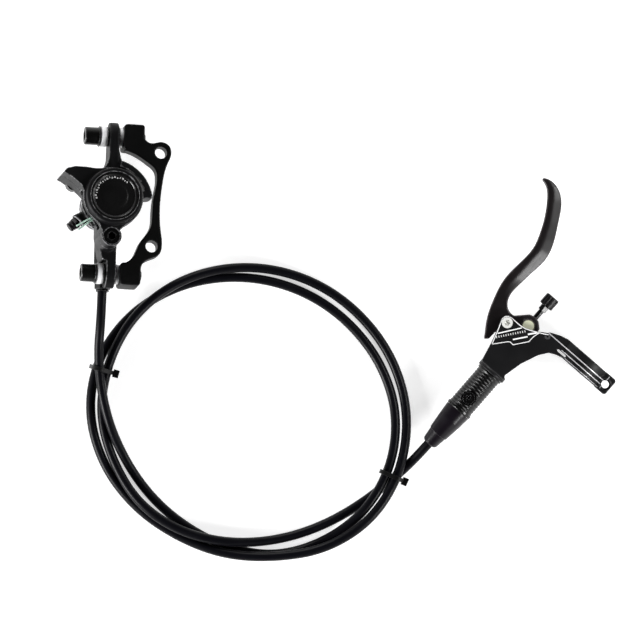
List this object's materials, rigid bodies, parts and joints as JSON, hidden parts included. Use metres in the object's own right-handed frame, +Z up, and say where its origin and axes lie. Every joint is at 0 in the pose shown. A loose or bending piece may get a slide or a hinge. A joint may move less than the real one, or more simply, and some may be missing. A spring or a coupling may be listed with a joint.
{
  "type": "disc brake",
  "caption": "Hydraulic bicycle disc brake: leaning caliper with mount adapter, coiled hose with two cable ties, and brake lever with bar clamp.",
  "frame": {"origin": "centre of the bounding box of the caliper and lever, on the surface they lie on", "axes": "+X from the caliper to the lever, +Y away from the coil, +Z up off the surface"},
  "size_m": [0.297, 0.2332, 0.0507],
  "materials": {
    "black_alloy": "satin",
    "adapter_black": "satin",
    "cap_black": "gloss",
    "lever_black": "satin",
    "blade_black": "satin",
    "black_steel": "semi-gloss",
    "zinc_steel": "satin",
    "washer_silver": "satin",
    "chrome_screw": "polished",
    "piston_grey": "satin",
    "seal_rubber": "matt",
    "sleeve_rubber": "matt",
    "pad_steel": "satin",
    "friction": "matt",
    "spring_steel": "satin",
    "olive_brass": "satin",
    "barrel_ivory": "satin",
    "hose_black": "semi-gloss",
    "tie_nylon": "satin"
  },
  "bodies": {
    "fixed": {"outboard_housing": "black_alloy", "inboard_housing": "black_alloy", "bore_cap": "cap_black", "bore_cap_ring": "seal_rubber", "outer_piston_seal": "seal_rubber", "inner_piston_seal": "seal_rubber", "pad_spring": "spring_steel", "pad_split_pin": "zinc_steel", "crossover_ring": "seal_rubber", "rear_body_bolt": "black_steel", "front_body_bolt": "black_steel", "upper_mount_bolt": "black_steel", "lower_mount_bolt": "black_steel", "upper_cup_washer": "washer_silver", "lower_cup_washer": "washer_silver", "upper_dome_washer": "black_steel", "lower_dome_washer": "black_steel", "upper_back_washer": "black_steel", "lower_back_washer": "black_steel", "upper_seat_washer": "washer_silver", "lower_seat_washer": "washer_silver", "adapter_bracket": "adapter_black", "bleed_nipple": "black_steel", "bleed_cap": "seal_rubber", "caliper_hose_nut": "black_steel", "caliper_olive": "olive_brass", "hose": "hose_black", "caliper_side_tie": "tie_nylon", "lever_side_tie": "tie_nylon", "lever_body": "lever_black", "reservoir_sleeve": "sleeve_rubber", "lever_bleed_screw": "black_steel", "hose_boot": "sleeve_rubber", "lever_hose_nut": "black_steel", "lever_olive": "olive_brass", "return_spring": "spring_steel", "piston_circlip": "spring_steel", "pivot_screw": "chrome_screw", "body_grub_screw": "spring_steel"},
    "blade": {"lever_blade": "blade_black", "upper_pivot_bush": "olive_brass", "lower_pivot_bush": "olive_brass"},
    "trunnion": {"trunnion_barrel": "barrel_ivory"},
    "adjuster": {"adjuster_screw": "black_steel", "adjuster_locknut": "black_steel", "adjuster_knob": "black_steel"},
    "master": {"master_piston": "piston_grey", "primary_cup": "seal_rubber", "secondary_cup": "seal_rubber"},
    "outer_pad": {"outer_piston": "piston_grey", "outer_pad_plate": "pad_steel", "outer_pad_lining": "friction"},
    "inner_pad": {"inner_piston": "piston_grey", "inner_pad_plate": "pad_steel", "inner_pad_lining": "friction"}
  },
  "joints": [
    {"name": "lever_pull", "type": "hinge", "parent": "fixed", "child": "blade", "pos_m": [0.09098, -0.02005, 0.0146], "axis": [0, 0, -1], "range_deg": [0, 20]},
    {"name": "trunnion_turn", "type": "hinge", "parent": "blade", "child": "trunnion", "pos_m": [0.10216, -0.02182, 0.0146], "axis": [0, 0, 1], "range_deg": [0, 20]},
    {"name": "adjuster_turn", "type": "hinge", "parent": "trunnion", "child": "adjuster", "pos_m": [0.10859, -0.01442, 0.0146], "axis": [0.6561, 0.7547, 0], "range_deg": [-180, 180]},
    {"name": "master_slide", "type": "slide", "parent": "fixed", "child": "master", "axis": [-0.6561, -0.7547, 0], "range_m": [0, 0.0037], "deforming": ["return_spring"]},
    {"name": "outer_pad_slide", "type": "slide", "parent": "fixed", "child": "outer_pad", "axis": [0.1685, 0.1746, 0.9701], "range_m": [0, 0.0004], "deforming": ["pad_spring"]},
    {"name": "inner_pad_slide", "type": "slide", "parent": "fixed", "child": "inner_pad", "axis": [-0.1685, -0.1746, -0.9701], "range_m": [0, 0.0004], "deforming": ["pad_spring"]}
  ],
  "couplings": [
    {"joint": "trunnion_turn", "follows": "lever_pull", "ratio": 1},
    {"joint": "master_slide", "follows": "lever_pull", "m_per_rad": 0.0104},
    {"joint": "outer_pad_slide", "follows": "lever_pull", "m_per_rad": 0.0011},
    {"joint": "inner_pad_slide", "follows": "lever_pull", "m_per_rad": 0.0011}
  ]
}
